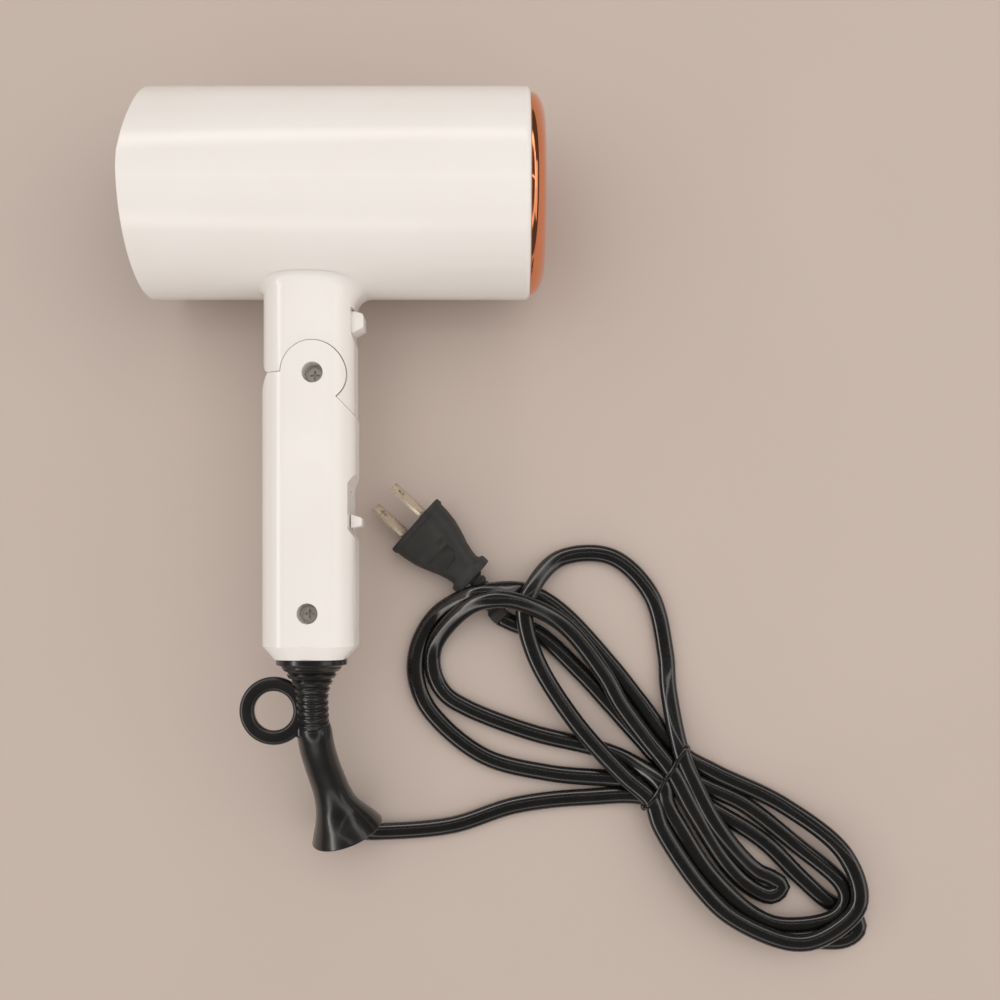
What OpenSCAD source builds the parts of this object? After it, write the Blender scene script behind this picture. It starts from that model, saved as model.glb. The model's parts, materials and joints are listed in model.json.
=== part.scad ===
// Foldable hair dryer, lying on its side.
// X runs along the barrel with the outlet at +X, the handle points to -Y, +Z is up,
// and z = 0 is the surface that the dryer lies on. Millimetres.

/* [Barrel] */
// Outer diameter of the barrel
barrel_d = 80; // [79:0.5:81]
// Length of the white barrel, without the outlet ring
barrel_len = 151.5; // [149:0.5:154]
// Wall of the barrel
barrel_wall = 2.4; // [2:0.1:2.6]
// How far the outlet ring stands out of the barrel
ring_proud = 5.8; // [5:0.1:6.4]
// Inner diameter of the outlet ring, where a nozzle plugs in
outlet_d = 49; // [48:0.5:50]

/* [Neck] */
// Width of the neck, along the barrel
neck_w = 35.6; // [35.2:0.1:36]
// Thickness of the neck
neck_t = 33.8; // [33.4:0.1:34.2]
// Corner radius of the neck
neck_r = 11.8; // [11.6:0.1:12]

/* [Fold hinge] */
// Distance of the hinge axis from the barrel's axis
hinge_drop = 73.3; // [72.8:0.1:74]
// Radius of the round cheeks of the handle
cheek_r = 12.35; // [12:0.05:12.4]
// Half the thickness of the neck's tongue between the cheeks
tongue_h = 11; // [10.6:0.1:11.2]

/* [Handle] */
// Width of the handle, along the barrel
handle_w = 36.6; // [36.2:0.1:37]
// Thickness of the handle
handle_t = 34.8; // [34.6:0.1:35.2]
// Corner radius of the handle
handle_r = 12.5; // [12.2:0.1:12.8]
// Wall of the handle shells
handle_wall = 1.5; // [1.4:0.1:1.6]
// Distance of the handle's end from the barrel's axis
handle_drop = 183.8; // [182:0.2:186]
// Travel of the speed slider
slider_travel = 10; // [8:0.5:10]
// Travel of the cool-shot button
button_travel = 2; // [1:0.5:2]

/* [Boot and cord] */
// Radius of the hole in the hanging ring
hang_r = 7.8; // [7.4:0.1:8]
// Radius of the bell mouth of the boot
bell_r = 15.4; // [15:0.1:15.8]
// Width of the flat oval cord
cord_w = 7.4; // [7:0.1:7.4]
// Thickness of the flat oval cord
cord_t = 4.8; // [4.4:0.1:4.8]

/* [Plug] */
// Distance between the middles of the two blades
blade_gap = 12.7; // [12.7:0.1:12.8]
// Length of the blades outside the plug
blade_len = 17; // [15.9:0.1:18.3]

/* [Hidden] */
$fn = 64;

barrel_r = barrel_d / 2;
bore_r = barrel_r - barrel_wall;
total_len = barrel_len + ring_proud;
rear_x = -total_len / 2;
lip_x = rear_x + barrel_len;
axis_y = 112.9; // the box of the dryer is centred on the origin
neck_x = -13.8;
handle_x = -13.85;
hinge_x = -10.75;
outlet_r = outlet_d / 2;
lip_r = 2.2;
cut = 60; // far enough to cut right through
face_r = 60; // the neck and the handle bulge on this radius, front and back

// Clearances
fit_gap = 0.08;
gap = 0.3;

// Moves a shape from the barrel's own frame, whose origin is on the barrel's axis at mid length.
module at_head() translate([0, axis_y, barrel_r]) children();

// Turns a shape made along +Z so that it lies along +X.
module along_x(x = 0) translate([x, 0, 0]) rotate([0, 90, 0]) children();

module tube_x(r_out, r_in, x0, x1)
    along_x(x0) difference() {
        cylinder(r = r_out, h = x1 - x0);
        translate([0, 0, -1]) cylinder(r = r_in, h = x1 - x0 + 2);
    }

module rod_z(r, z0, z1) translate([0, 0, z0]) cylinder(r = r, h = z1 - z0);

module box(low, high) translate(low) cube(high - low);

module round_rect(w, t, r) {
    square([w - 2 * r, t], center = true);
    square([w, t - 2 * r], center = true);
    for (sx = [-1, 1], sy = [-1, 1]) translate([sx * (w / 2 - r), sy * (t / 2 - r)]) circle(r = r);
}

// The same, with its front and its back slightly bulging.
module soft_rect(w, t, r) {
    side = w / 2 - r;
    high = t / 2 - face_r + sqrt(pow(face_r - r, 2) - side * side);
    reach = side * face_r / (face_r - r);
    intersection() {
        square([2 * reach, t + 1], center = true);
        translate([0, t / 2 - face_r]) circle(r = face_r);
        translate([0, face_r - t / 2]) circle(r = face_r);
    }
    square([w, 2 * high], center = true);
    for (sx = [-1, 1], sy = [-1, 1]) translate([sx * side, sy * high]) circle(r = r);
}

// Draws a flat shape out along Y, from y_top down to y_low.
module along_y(x, y_top, y_low)
    translate([x, y_top, 0]) rotate([90, 0, 0]) linear_extrude(y_top - y_low) children();

module bar_y(w, t, r, x, y_top, y_low) along_y(x, y_top, y_low) round_rect(w, t, r);

module at_hinge() translate([hinge_x, -hinge_drop, 0]) children();

// ---------------------------------------------------------------- sweeps
function unit(v) = v / norm(v);
function heading(p, i) = unit(p[min(i + 1, len(p) - 1)] - p[max(i - 1, 0)]);
function across(t) = unit(cross([0, 0, 1], t));

// One ring of a flat oval tube: w wide along the surface and h high.
function oval(c, t, w, h, sides, turn = 0) =
    let (s = across(t), u = cross(t, s))
    [for (k = [0:sides - 1]) let (a = 360 * k / sides + turn) c + s * w / 2 * cos(a) + u * h / 2 * sin(a)];

// A closed tube through rings of points that all have the same number of sides.
module skin(rings) {
    n = len(rings[0]);
    m = len(rings);
    walls = [for (i = [0:m - 2], k = [0:n - 1])
        [i * n + k, (i + 1) * n + k, (i + 1) * n + (k + 1) % n, i * n + (k + 1) % n]];
    start_cap = [for (k = [0:n - 1]) k];
    end_cap = [for (k = [n - 1:-1:0]) (m - 1) * n + k];
    polyhedron([for (r = rings, q = r) q], concat(walls, [start_cap], [end_cap]), convexity = 10);
}

module sweep(path, w, h, sides = 8)
    skin([for (i = [0:len(path) - 1]) oval(path[i], heading(path, i), w, h, sides, 180 / sides)]);

// ---------------------------------------------------------------- head shell
// Rounded front edge of the barrel, as a profile of radius and height.
module barrel_profile() {
    edge_h = barrel_len - lip_r;
    difference() {
        translate([bore_r, 0]) square([barrel_wall, barrel_len]);
        translate([barrel_r - lip_r, edge_h]) square([lip_r + 1, lip_r + 1]);
    }
    intersection() {
        translate([barrel_r - lip_r, edge_h]) circle(r = lip_r);
        translate([bore_r, 0]) square([barrel_wall, barrel_len]);
    }
}

// The neck seen from above: it ends just over the hinge at the back and
// reaches down to the 45 degree seam at the front.
module neck_plan() {
    back = neck_x - neck_w / 2 - hinge_x;
    polygon([[back - 5, 12], [back, 6.2], [back + 0.5, 3.8], [back + 1.5, 1.8], [back + 2.9, 0.7],
        [0, 0.7], [0, 0], [30, -30], [30, 60], [back - 5, 60]]);
}

neck_in = 2.2;
tongue_gap = 8; // half the space between the tongue's two plates
hub_r = 8.2;
boss_r = 5.3;
button_y = -51.3;
button_l = 8.4;
button_h = 10.6;
scoop_x = 2.9; // floor of the flat that the button stands in
pad_x = -2;

module neck_block() {
    intersection() {
        along_y(neck_x, -33, -hinge_drop - 23) soft_rect(neck_w, neck_t, neck_r);
        at_hinge() translate([0, 0, -cut / 2]) linear_extrude(cut) neck_plan();
    }
    at_hinge() rod_z(cheek_r - 0.05, -tongue_h, tongue_h);
}

module neck_hollow() {
    bar_y(neck_w - 2 * neck_in, neck_t - 2 * neck_in, neck_r - neck_in, neck_x, -25, -hinge_drop + 14.5);
    difference() {
        at_hinge() box([-18.4, -14, -tongue_gap], [11.5, 16, tongue_gap]);
        at_hinge() rod_z(hub_r, -tongue_gap - 1, tongue_gap + 1);
    }
}

// Flat across the neck's front round the cool-shot button, with a sloped lower end.
module button_recess()
    translate([0, 0, -cut]) linear_extrude(2 * cut)
        polygon([[scoop_x, -46.3], [10, -46.3], [10, -70], [4.1, -60], [scoop_x, -56]]);

// What is cut away behind the barrel, whose rear end leans forward above the handle's side.
module rear_slant()
    translate([0, 0, -cut]) linear_extrude(2 * cut)
        polygon([[rear_x, -3], [rear_x + 0.3, 3], [rear_x + 3.2, 20], [rear_x + 6.5, 45], [rear_x - 5, 45],
            [rear_x - 5, -3]]);

module head_shell() color("white") at_head() difference() {
    union() {
        along_x(rear_x) rotate_extrude() barrel_profile();
        difference() {
            neck_block();
            along_x(rear_x + 1) cylinder(r = bore_r, h = barrel_len - 4);
            difference() {
                neck_hollow();
                box([pad_x, -60, -9], [5, -43, 9]);
            }
            for (s = [0, 1]) at_hinge() mirror([0, 0, s]) rod_z(cheek_r + gap, tongue_h, cut / 2);
            at_hinge() rod_z(boss_r + fit_gap, -cut / 2, cut / 2);
        }
    }
    intersection() {
        bar_y(neck_w - 2 * neck_in, neck_t - 2 * neck_in, neck_r - neck_in, neck_x, -25, -45);
        box([-40, -45, -20], [pad_x, 0, 20]);
    }
    button_recess();
    rear_slant();
    box([-5, button_y - button_l / 2 - 0.25, -button_h / 2 - 0.25],
        [5, button_y + button_l / 2 + 0.25, button_h / 2 + 0.25]);
}

// ---------------------------------------------------------------- inlet and outlet
// Rings and spokes of a grille, as a flat shape.
module grille_plan(r_in, r_out, rings, ring_w, spokes, spoke_w) {
    pitch = (r_in - ring_w) / rings;
    difference() {
        circle(r = r_out);
        circle(r = r_in);
    }
    for (i = [1:rings - 1]) difference() {
        circle(r = i * pitch + ring_w);
        circle(r = i * pitch);
    }
    intersection() {
        circle(r = r_in + 0.5);
        for (k = [0:spokes - 1]) rotate(k * 360 / spokes)
            translate([0, -spoke_w / 2]) square([r_in + 1, spoke_w]);
    }
    circle(r = pitch * 0.9);
}

module rear_cover() color("dimgray") at_head()
    along_x(rear_x + 6.2) linear_extrude(3) grille_plan(33, bore_r - gap, 7, 1.6, 8, 2);

module filter_mesh() color("gray") at_head() tube_x(34.5, 1, rear_x + 9.5, rear_x + 10);

// The chromed ring's cross-section: a crest that rolls over into the bore, and a spigot that snaps
// into the barrel.
module ring_profile() {
    rim_r = bore_r - gap;
    crest_r = outlet_r + 2.5;
    lip = 2.5;
    polygon(concat(
        [for (a = [0:7.5:90]) [crest_r + (rim_r - crest_r) * cos(a), ring_proud * sin(a)]],
        [for (a = [15:15:90]) [crest_r - lip * sin(a), ring_proud - lip * (1 - cos(a))]],
        [[outlet_r, -6.85], [crest_r, -6.85], [crest_r, -2.85], [rim_r - 1.7, -2.85], [rim_r - 1.7, -8.35],
            [rim_r, -8.35]]));
}

module outlet_ring() color("peru") at_head() along_x(lip_x) rotate_extrude() ring_profile();

module outlet_grille() color("black") at_head()
    along_x(lip_x - 10.2) linear_extrude(2.8) grille_plan(outlet_r, 35.4, 5, 1.4, 6, 1.6);

// ---------------------------------------------------------------- fan and motor
motor_x = -45.6;

module fan_housing() color("gray") at_head() {
    tube_x(35.2, 33.6, -66, -18);
    tube_x(16, 14.4, motor_x - 0.4, -20);
    for (k = [0:6]) rotate([k * 360 / 7, 0, 0]) box([-44, -0.8, 15.5], [-22, 0.8, 34]);
    for (k = [0:2]) rotate([k * 120 + 30, 0, 0]) box([-60, -2, 35], [-30, 2, bore_r - 0.1]);
}

module motor_can() color("silver") at_head() difference() {
    along_x(motor_x) cylinder(r = 14.1, h = 26.6);
    along_x(motor_x - 1) cylinder(r = 3.6, h = 4);
    along_x(motor_x + 23.6) cylinder(r = 3.6, h = 4);
    along_x(motor_x - 1) cylinder(r = 2, h = 30);
    for (s = [-1, 1]) translate([0, s * 9, 0]) along_x(motor_x - 1) cylinder(r = 1.3, h = 6);
}

module motor_bushes() color("goldenrod") at_head() {
    tube_x(3.55, 1.2, motor_x, motor_x + 2.9);
    tube_x(3.55, 1.2, motor_x + 23.7, motor_x + 26.6);
}

module motor_screws() color("silver") at_head()
    for (s = [-1, 1]) translate([0, s * 9, 0]) {
        along_x(motor_x - 1.3) cylinder(r = 2, h = 1.2);
        along_x(motor_x - 0.5) cylinder(r = 1.2, h = 5);
    }

module motor_shaft() color("silver") at_head() along_x(-63) cylinder(r = 1.15, h = 47);

module fan() color("whitesmoke") at_head() difference() {
    union() {
        along_x(-63.5) cylinder(r = 11, h = 14);
        intersection() {
            tube_x(32.9, 8, -64.5, -48);
            for (k = [0:8]) rotate([k * 40, 0, 0])
                translate([-56.3, 0, 0]) rotate([0, 0, 38]) box([-7.5, -0.7, 9], [7.5, 0.7, 34]);
        }
    }
    along_x(-70) cylinder(r = 1.2, h = 30);
}

module rectifier_board() color("darkgreen") at_head() tube_x(12.5, 2, -14.6, -13);

module rectifier_diodes() color("black") at_head()
    for (k = [0:3]) rotate([k * 90 + 45, 0, 0]) translate([-12.9, -2.5, 8]) rotate([-90, 0, 0])
        translate([1.3, 0, 0]) cylinder(r = 1.2, h = 5);

// ---------------------------------------------------------------- heater
coil_x = -4;
coil_pitch = 5;
coils = 10;
coil_r = 24.6;
coil_wire = 0.7;

module mica_tube() color("tan") at_head() tube_x(35, 34.5, -17, 58);

// A mica board across the whole tube, notched for each turn of the coil.
module mica_board(slot_x0, slot_x1) difference() {
    box([-10.5, -27, -0.4], [55, 27, 0.4]);
    box([slot_x0, -0.6, -1], [slot_x1, 0.6, 1]);
    for (i = [0:coils - 1], s = [0, 1]) mirror([0, s, 0])
        box([coil_x + coil_pitch * i - 1.1, coil_r - coil_wire - 0.2, -1],
            [coil_x + coil_pitch * i + 1.1, 30, 1]);
}

module mica_board_flat() color("tan") at_head() mica_board(22, 60);
module mica_board_upright() color("tan") at_head() rotate([90, 0, 0]) mica_board(-15, 22.3);

module heating_coil() color("silver") at_head()
    for (i = [0:coils - 1]) along_x(coil_x + coil_pitch * i) rotate_extrude() translate([coil_r, 0])
        circle(r = coil_wire);

module thermostat() color("silver") at_head() translate([49, 12, 0.5]) {
    cylinder(r = 4.5, h = 3);
    box([-3, -6.5, 0], [3, 6.5, 1]);
}

module thermal_fuse() color("silver") at_head()
    translate([0, -12, 1.7]) along_x(44) cylinder(r = 1.2, h = 9);

// ---------------------------------------------------------------- neck fittings
module cool_shot_switch() color("black") at_head() box([-16, -55.9, -4.5], [-7.6, -46.7, 4.5]);

module cool_shot_button() color("white") at_head() {
    translate([0, button_y, -button_h / 2]) linear_extrude(button_h)
        polygon([[pad_x - 0.5, -button_l / 2], [3.4, -button_l / 2], [7.4, -2], [7.4, 2.6], [6.9, 3.4],
            [4.2, button_l / 2], [pad_x - 0.5, button_l / 2]]);
    box([-3.2, button_y - 5.1, -6.6], [-2.2, button_y + 5.1, 6.6]);
    translate([0, button_y, 0]) along_x(-5.4) cylinder(r = 1.4, h = 3);
}

module button_spring() color("silver") at_head()
    for (i = [0:3]) translate([0, button_y, 0]) along_x(-7.1 + i * 1.15) rotate_extrude()
        translate([2.6, 0]) circle(r = 0.3);

module head_wires() color("firebrick") at_head()
    for (s = [-1, 1])
        sweep([[-20, -80, s * 4], [-24, -72, s * 4], [-24, -60, s * 4], [-24, -44, s * 3],
            [-22, -37.2, s * 3], [-8, -36.3, s * 2], [4, -36.3, s * 2]], 2, 2, 6);

module hinge_washers() color("lightgray") at_head() at_hinge()
    for (s = [0, 1]) mirror([0, 0, s]) difference() {
        rod_z(10, tongue_h + 0.05, tongue_h + 0.75);
        rod_z(boss_r + gap, tongue_h - 1, tongue_h + 2);
    }

// ---------------------------------------------------------------- handle shells
cheek_z = tongue_h + 0.8;
head_z = 9.7; // top of the screw heads, above the mid-plane
head_h = 2;
recess_r = 4;
screw_r = 1.45;
low_screw = [-12.65, -165.8];
slider_y = -129.3;
slider_l = 5.4;
slot_x = 2.05; // floor of the slider's recess

// The handle seen from above, from the hinge down, with the bevelled rear shoulder.
module handle_plan() {
    back = handle_x - handle_w / 2 - hinge_x;
    polygon([[back + 3.3, 0.4], [0, 0.4], [0, -0.12], [30, -30.12], [30, -150], [back - 5, -150],
        [back - 5, -24], [back, -10.5], [back + 0.5, -6.5], [back + 1.3, -3.5], [back + 2.3, -1.2]]);
}

// Keeps a shape inside the bevel that runs round the handle's end. The bevel goes on past the
// handle's sides, so that only its first half cuts.
module end_bevel() {
    bevel_h = 5.5;
    bevel_x = 4.8;
    bevel_z = 3.8;
    hull() for (side = [-1, 1])
        translate([0, bevel_h * (side + 1), 0])
            along_y(handle_x, -handle_drop, -handle_drop - 0.02)
                round_rect(handle_w + 2 * side * bevel_x, handle_t + 2 * side * bevel_z, handle_r + 4 * side,
                    $fn = 32);
    box([-60, -handle_drop + 1.6 * bevel_h, -cut], [60, 0, cut]);
}

// Radius and height of what the neck's front tail sweeps through as the handle folds.
module tail_sweep() {
    side = neck_w / 2 - neck_r;
    high = neck_t / 2 - face_r + sqrt(pow(face_r - neck_r, 2) - side * side) + 0.2;
    corner = neck_x + side - hinge_x;
    at_hinge() rotate_extrude() polygon(concat([[cheek_r - 4, 0], [cheek_r - 4, high + neck_r * sin(74)]],
        [for (a = [70:-7:0]) [(corner + neck_r * cos(a)) * sqrt(2) + 0.3, high + neck_r * sin(a)]],
        [[(corner + neck_r) * sqrt(2) + 0.3, 0]]));
}

module handle_bar()
    along_y(handle_x, -40, -handle_drop) soft_rect(handle_w, handle_t, handle_r);

// Everything that both halves share. The front half is z > 0.
module handle_half() intersection() {
    end_bevel();
    union() {
        difference() {
            intersection() {
                handle_bar();
                union() {
                    at_hinge() linear_extrude(cut) handle_plan();
                    at_hinge() rod_z(cheek_r, 0, cut);
                }
            }
            bar_y(handle_w - 2 * handle_wall, handle_t - 2 * handle_wall, handle_r - handle_wall,
                handle_x, -40, -handle_drop + 5.8);
            tail_sweep();
        }
        intersection() {
            handle_bar();
            at_hinge() rod_z(cheek_r, cheek_z, cut);
        }
        at_hinge() rod_z(boss_r, 0, cheek_z + 1);
        translate(low_screw) rod_z(boss_r, 0, handle_t / 2 - 1);
        slider_pad();
    }
}

// Thicker wall behind the slider's recess.
module slider_pad() intersection() {
    handle_bar();
    box([-0.5, -139, 0], [5, -108, 12.2]);
}

module handle_cuts() {
    translate([0, 0, -cut]) linear_extrude(2 * cut)
        polygon([[slot_x, -115.1], [slot_x, -132.8], [4.45, -136.4], [9, -143.5], [9, -103.5], [4.45, -111]]);
    // Way for the cord past the low screw's boss
    translate([0, 0, -2.6]) linear_extrude(5.2)
        polygon([[-11.4, -174], [-11.4, -171.7], [-14.4, -169], [-18.8, -163.6], [-18.8, -160], [-24, -160],
            [-24, -174]]);
    box([-3, slider_y - 2, -2.1], [5, slider_y + slider_travel + 2, 2.1]);
    translate([handle_x, 0, 0]) bar_y(18.4, 18.4, 9.1, 0, -handle_drop + 10, -handle_drop - 1);
}

module handle_shell_front() color("white") at_head() difference() {
    handle_half();
    handle_cuts();
    for (at = [[hinge_x, -hinge_drop], low_screw]) translate(at) {
        rod_z(recess_r, head_z - head_h, cut);
        rod_z(screw_r + 0.1, -1, head_z);
    }
    box([-60, -250, -50], [60, 0, 0.05]);
}

module handle_shell_rear() color("white") at_head() difference() {
    mirror([0, 0, 1]) handle_half();
    handle_cuts();
    for (at = [[hinge_x, -hinge_drop], low_screw]) translate(at) rod_z(screw_r + 0.05, -14, 1);
    box([-60, -250, 0], [60, 0, 50]);
}

module cross_screw() difference() {
    union() {
        rod_z(3, head_z - head_h, head_z);
        rod_z(screw_r, -12, head_z - 1);
    }
    for (a = [0, 90]) rotate(a) box([-1.8, -0.4, head_z - 1.2], [1.8, 0.4, head_z + 1]);
}

module handle_screws() color("silver") at_head()
    for (at = [[hinge_x, -hinge_drop], low_screw]) translate(at) cross_screw();

// ---------------------------------------------------------------- handle fittings
module speed_slider() color("white") at_head() {
    translate([0, slider_y, -5]) linear_extrude(10)
        polygon([[slot_x + gap, -slider_l / 2], [3.6, -slider_l / 2], [6.75, -1.9], [6.75, 1.2],
            [slot_x + gap, slider_l / 2]]);
    box([-3.4, slider_y - 1.6, -1.7], [slot_x + 1, slider_y + 1.6, 1.7]);
}

module speed_switch() color("black") at_head() difference() {
    box([-13, -137, -6], [-0.9, -112, 6]);
    box([-4.2, slider_y - 2.2, -2.2], [0, slider_y + slider_travel + 2.2, 2.2]);
}

module switch_terminals() color("goldenrod") at_head()
    for (y = [-134, -128, -122, -116]) box([-16.5, y - 0.4, -2], [-13, y + 0.4, 2]);

module handle_wires() color("firebrick") at_head()
    for (s = [-1, 1])
        sweep([[-22.4, -146, s * 2], [-22.4, -138, s * 3.4], [-21, -125, s * 4.5], [-21, -110, s * 4],
            [-23.5, -102.05, s * 4]], 2, 2, 6);

module crimp_caps() color("ivory") at_head()
    for (s = [-1, 1]) translate([-23.5, -95, s * 4]) rotate([90, 0, 0]) cylinder(r = 2.2, h = 7);

module inner_cord() color("black") at_head()
    sweep([[handle_x, -174.2, 0], [-17, -171.5, 0], [-22.2, -165, 0], [-22.4, -158, 0], [-22.4, -146.2, 0]],
        6.4, 4.4);

module cord_clamp() color("dimgray") at_head() difference() {
    union() {
        box([-29.4, -157, 2.4], [-13.5, -151, 5.2]);
        box([-29.4, -157, -5.2], [-13.5, -151, -2.4]);
        box([-17.2, -157, -3], [-13.5, -151, 3]);
    }
    translate([-15.4, -154, 0]) rod_z(1.1, -10, 10);
}

module clamp_screws() color("silver") at_head() translate([-15.4, -154, 0]) {
    rod_z(2, 5.25, 6.8);
    rod_z(1, -5, 6);
}

// ---------------------------------------------------------------- boot
rib_step = 2.7;
rib_radii = [11.4, 9.5, 8, 7, 6.5, 6.4, 6.4, 6.4, 6.3];
boot_x = -13.7;

// Middle of the boot's bent tube and how its radius grows into the bell.
boot_path = [[boot_x, -184, 0], [boot_x, -190, -0.1], [boot_x, -196, -0.5], [boot_x, -203, -1.8],
    [boot_x, -209, -3.6], [-13.5, -213, -5.1], [-12.9, -220, -8.3], [-11.3, -228, -12.6],
    [-9.2, -236, -16.9], [-7.4, -243, -20.2], [-6, -248, -22.3], [-4.6, -252, -23.8], [-3.1, -256.4, -25.2]];
boot_radii = [5.6, 5.6, 5.6, 5.7, 5.8, 7.1, 7.1, 7.1, 7.2, 8, 10, 12.6, bell_r];
bell_wall = 1.5;
bell_from = 9; // the point of the path where the bell's hollow starts

// How far the boot has sagged below the handle's middle, at a drop from the barrel's axis.
function sag(drop) = lookup(drop, [for (p = boot_path) [-p.y, p.z]]);

module boot_ribs() {
    translate([boot_x, -handle_drop, 0]) rotate([90, 0, 0]) {
        translate([0, 0, -8.6]) cylinder(r = 8.95, h = 9);
        translate([0, 0, -8.6]) cylinder(r = 11, h = 2.6);
        translate([0, 0, 0.1]) cylinder(r = 14, h = 2.3);
    }
    for (i = [0:len(rib_radii) - 1]) {
        drop = handle_drop + 3.1 + i * rib_step;
        translate([boot_x, -drop, sag(drop)]) rotate([90 - atan((sag(drop) - sag(drop + 3)) / 3), 0, 0])
            cylinder(r = rib_radii[i], h = 1.7);
    }
}

module hang_ring() translate([-29.07, -204.4, -2]) difference() {
    union() {
        rod_z(13.6, -2.25, 2.25);
        translate([2.5, 0, 0]) rod_z(13.6, -2.25, 2.25);
        box([2, -13, -2.25], [13, 8, 2.25]);
    }
    rod_z(hang_r, -5, 5);
}

module boot() color("#222222") at_head() {
    difference() {
        skin([for (i = [0:len(boot_path) - 1])
            oval(boot_path[i], heading(boot_path, i), 2 * boot_radii[i], 2 * boot_radii[i], 24)]);
        skin([for (i = [bell_from:len(boot_path) - 1])
            let (r = i == bell_from ? 4.6 : boot_radii[i] - bell_wall,
                t = heading(boot_path, i),
                c = boot_path[i] + (i == len(boot_path) - 1 ? t * 0.2 : [0, 0, 0]))
            oval(c, t, 2 * r, 2 * r, 24)]);
    }
    boot_ribs();
    hang_ring();
}

// ---------------------------------------------------------------- cord
// Where the cord's runs pass through the tie, from its near end to its far end, low and high.
c1_low = [137.4, -112, 3.6];
c2_low = [133, -119, 3.6];
c3_low = [129, -125, 3.6];
c4_low = [124.6, -132, 3.6];
lift = [0, 0, 5.1];

// Route of the cord's middle, from the boot to the plug, on the surface z = 0.
route = [
    [-4.5, -137, 13.5], [-1.5, -142, 9], [3.5, -145.5, 5.5], [10, -146, 3.4], [40, -143.5, 2.5],
    [67, -135, 2.5], [97, -131.5, 2.5], c4_low,
    // out to the far end of the hank and back
    [133, -142, 2.5], [149, -167, 2.5], [172, -186, 2.5], [186, -191, 2.5], [208, -192.5, 2.5],
    [214, -187.5, 2.5], [210.5, -180.5, 2.5], [201, -176, 2.5], [190, -166.5, 2.5], [173, -150, 2.5],
    [153, -137.5, 2.5], c3_low,
    // near loop beside the handle
    [110, -123.5, 2.5], [81, -121, 2.5], [53, -113.5, 2.5], [30, -93.5, 2.5], [24.5, -79, 2.5],
    [26, -66, 2.5], [33, -54, 4], [43.5, -47, 9], [52, -44.3, 12.3], [68, -42.8, 6], [78, -46, 2.5],
    [89, -54, 2.5], [109, -76, 2.5], [120, -90, 2.5], c1_low,
    // upper loop at the far end
    [152, -120.5, 2.5], [182, -135, 3.5], [206, -154.5, 11], [211.5, -175, 12.5], [196, -189, 12.5],
    [183, -191, 12.5], [158, -180.5, 12.5], [145, -168, 12], [128.5, -143, 9.5], c4_low + lift,
    // loop under the barrel's outlet
    [113, -121.5, 7.8], [92, -98, 7.5], [75.5, -71, 7.5], [71, -51.5, 9.5], [73.5, -43.5, 9.5],
    [86, -29.5, 3.5], [108, -28.5, 2.5], [125, -44.5, 2.5], [131.5, -70, 2.5], [132.5, -85, 4],
    c1_low + lift,
    // short fold
    [142, -123, 7.8], [153, -143.5, 7.5], [170, -162.6, 3.4], [177, -166, 2.9], [181.3, -169.8, 2.5],
    [177, -173.7, 2.5], [167, -169.6, 2.5], [157.5, -160, 4], [142.5, -136.5, 8.2], c2_low + lift,
    // second near loop, over the plug's lead
    [122, -105, 7.5], [112, -91.5, 7.5], [105, -79, 7.5], [88, -58, 8.5], [70, -48.5, 14.8],
    [58, -47, 17.3], [47, -50.5, 14], [33, -66, 4.5], [32, -77, 2.5], [37, -87, 2.5], [47, -93.5, 2.5],
    [75, -104, 2.5], [102, -110.5, 2.5], [115, -115.5, 3], c3_low + lift,
    // inner loop at the far end
    [131.5, -134, 7.5], [137, -144, 7.5], [150, -164, 7.5], [168, -180.5, 7.5], [180, -185, 7.5],
    [202, -182, 7.5], [207.5, -175.5, 7.5], [206, -168, 7.3], [187, -151.5, 2.5], [165, -134.5, 2.5],
    [149, -127, 2.5], c2_low,
    // lead to the plug
    [120, -105.5, 2.5], [107, -91, 2.5], [96, -79, 2.5], [77, -61.5, 2.5], [62, -56, 3.2]];

module power_cord() color("black") sweep(route, cord_w, cord_t);

module cord_tie() color("black") translate([131, -122, 0]) rotate(-33) difference() {
    box([-1.2, -16.9, 0.1], [1.2, 16.9, 12.2]);
    box([-3, -15.9, 1.1], [3, 15.9, 11.2]);
}

// ---------------------------------------------------------------- plug
plug_at = [35.5, -25, 9.75];
plug_turn = 138; // the blades point this way, seen from above
plug_tilt = 4.9; // and rise this much
plug_roll = -27;
plug_face = 14.7; // distance of the face that the blades stand on from plug_at

module at_plug() translate(plug_at) rotate(plug_turn) rotate([plug_roll, -plug_tilt, 0]) children();

// One ring of the plug, a rectangle with round corners, at x along the plug's axis.
function plug_ring(x, w, t, r) =
    [for (corner = [0:3], step = [0:5])
        let (a = corner * 90 + step * 18,
            sy = corner == 0 || corner == 3 ? 1 : -1,
            sz = corner < 2 ? 1 : -1)
        [x, sy * (w / 2 - r) + r * cos(a), sz * (t / 2 - r) + r * sin(a)]];

// Place, width, thickness and corner radius of each ring, from the collar to the face.
plug_rings = [[-19, 18.6, 12.2, 5.6], [-18.6, 19.4, 13, 6], [-15.4, 19.4, 13, 6], [-14.8, 15.4, 12, 5.5],
    [-12.5, 15.4, 12, 5.5], [-7, 18.6, 12.4, 5.8], [-2, 22.8, 12.8, 5.8], [3, 26.2, 13.2, 5.8],
    [11.8, 28.6, 13.4, 5.8], [12.3, 29.8, 14.2, 6.2], [14.3, 29.8, 14.2, 6.2], [plug_face, 29, 13.4, 5.9]];

module plug_body() color("#222222") at_plug()
    skin([for (p = plug_rings) plug_ring(p[0], p[1], p[2], p[3])]);

// Middle of the bent, ribbed strain relief between the plug's collar and the cord.
relief_path = [[49.5, -37.5, 8.1], [51.8, -40.2, 7.2], [54.5, -43.9, 5.7], [57.2, -48, 4.4],
    [59.5, -52, 3.8], [61, -56, 3.6]];

function along(path, u) =
    let (n = len(path) - 1, i = min(n - 1, floor(u * n)))
    path[i] + (path[i + 1] - path[i]) * (u * n - i);

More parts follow.
